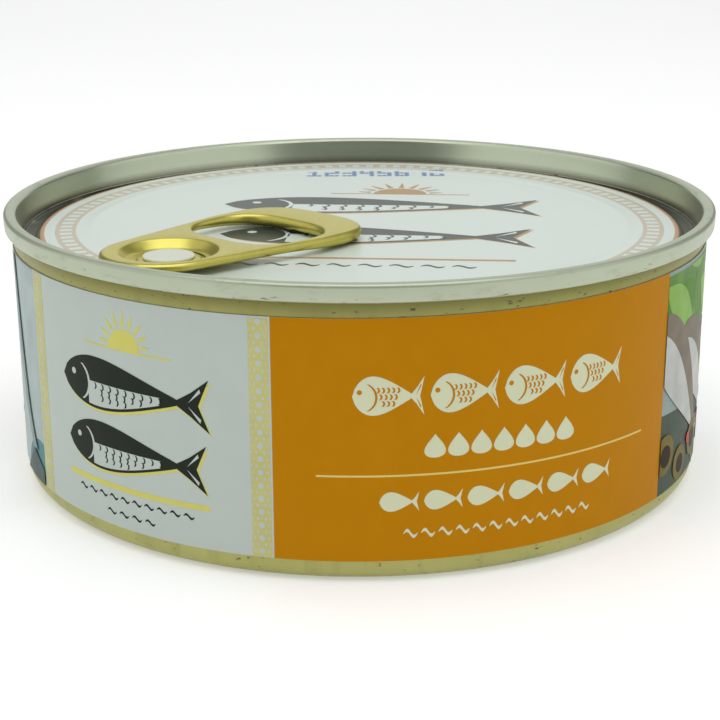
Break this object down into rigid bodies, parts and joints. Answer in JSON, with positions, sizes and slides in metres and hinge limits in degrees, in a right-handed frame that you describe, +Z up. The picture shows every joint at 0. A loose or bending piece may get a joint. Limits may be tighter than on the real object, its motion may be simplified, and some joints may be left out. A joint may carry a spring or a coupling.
{
  "type": "sardine tin",
  "caption": "Shut round fish tin with a rolled seam, recessed lid, ring pull and wrap-round paper label.",
  "frame": {"origin": "middle of the circle the tin stands on", "axes": "+Z up through the middle of the lid; the middle of the label's shown side faces -Y"},
  "size_m": [0.1024, 0.1024, 0.0385],
  "materials": {
    "gold_lacquer": "satin gold lacquer over tinplate",
    "coated_tinplate": "pale printed coating on the panel, grey-green lacquered seam",
    "tab_lacquer": "satin brass-coloured lacquer",
    "label_paper": "semi-gloss printed paper"
  },
  "bodies": {
    "root": {"can_body": "gold_lacquer", "lid": "coated_tinplate", "tab": "tab_lacquer", "label": "label_paper"}
  },
  "joints": []
}
